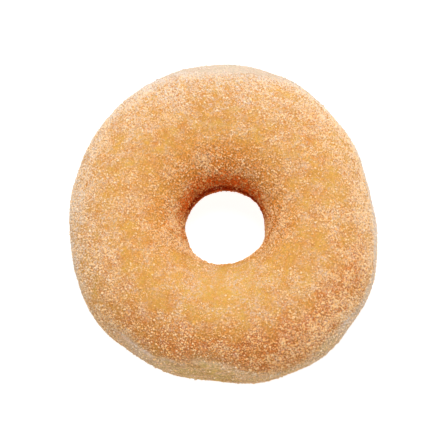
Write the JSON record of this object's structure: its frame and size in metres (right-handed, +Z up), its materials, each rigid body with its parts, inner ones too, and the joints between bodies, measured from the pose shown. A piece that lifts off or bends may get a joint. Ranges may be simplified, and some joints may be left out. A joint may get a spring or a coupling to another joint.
{
  "type": "doughnut",
  "caption": "Sugared ring doughnut: browned domes, a pale waist band and a round hole through the middle, lying flat.",
  "frame": {"origin": "on the surface it rests on, under the middle of its footprint", "axes": "+Z up along the hole; +X to the right and +Y to the top of the picture, which looks down on it; +Y is its longer way across"},
  "size_m": [0.0898, 0.0954, 0.0324],
  "materials": {
    "sugared_crust": "golden fried dough rolled in fine sugar, dull with a fine sparkle"
  },
  "bodies": {
    "root": {"doughnut": "sugared_crust"}
  },
  "joints": []
}
